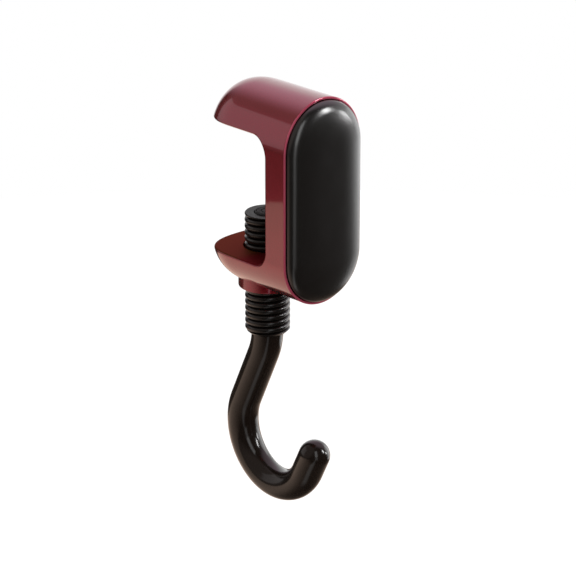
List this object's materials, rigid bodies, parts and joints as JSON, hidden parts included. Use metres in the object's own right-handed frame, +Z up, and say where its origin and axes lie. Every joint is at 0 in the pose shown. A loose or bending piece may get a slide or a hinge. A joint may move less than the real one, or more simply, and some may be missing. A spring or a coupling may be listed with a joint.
{
  "type": "table bag hook",
  "caption": "C-shaped clamp for a table edge with a black pillow cover, and a threaded screw whose lower end is bent to a bag hook.",
  "frame": {"origin": "where the pad under the upper arm meets the table top, on the axis of the screw", "axes": "+Z up along the screw's axis, -Y to the front where the black cover is, +Y the way the arms reach over the table, +X to the right seen from the front"},
  "size_m": [0.036, 0.0522, 0.1574],
  "materials": {
    "wine_paint": "wine-red gloss paint",
    "cover_black": "black, satin to glossy, moulded",
    "rod_black": "black gloss coating on steel",
    "screw_black": "black, moulded, glossy",
    "grip_rubber": "matt black rubber",
    "zinc_steel": "zinc plated",
    "pale_nylon": "natural nylon"
  },
  "bodies": {
    "clamp": {"clamp_frame": "wine_paint", "front_cover": "cover_black", "cover_screw_upper": "zinc_steel", "cover_screw_lower": "zinc_steel", "upper_grip_pad": "grip_rubber", "edge_pad": "grip_rubber", "threaded_bush": "wine_paint", "bush_grub_screw": "zinc_steel"},
    "foot": {"foot_pad": "grip_rubber", "foot_stem": "zinc_steel", "foot_clip": "zinc_steel", "thrust_washer": "pale_nylon"},
    "hook_screw": {"screw_sleeve": "screw_black", "hook_rod": "rod_black", "sleeve_pin": "zinc_steel"}
  },
  "joints": [
    {"name": "screw_feed", "type": "slide", "parent": "clamp", "child": "foot", "axis": [0, 0, 1], "range_m": [-0.0122, 0.0174]},
    {"name": "hook_turn", "type": "hinge", "parent": "foot", "child": "hook_screw", "pos_m": [0, 0, -0.08], "axis": [0, 0, 1], "range_deg": [-1845, 2630]}
  ],
  "couplings": [
    {"joint": "screw_feed", "follows": "hook_turn", "m_per_rad": 0.00037879}
  ]
}
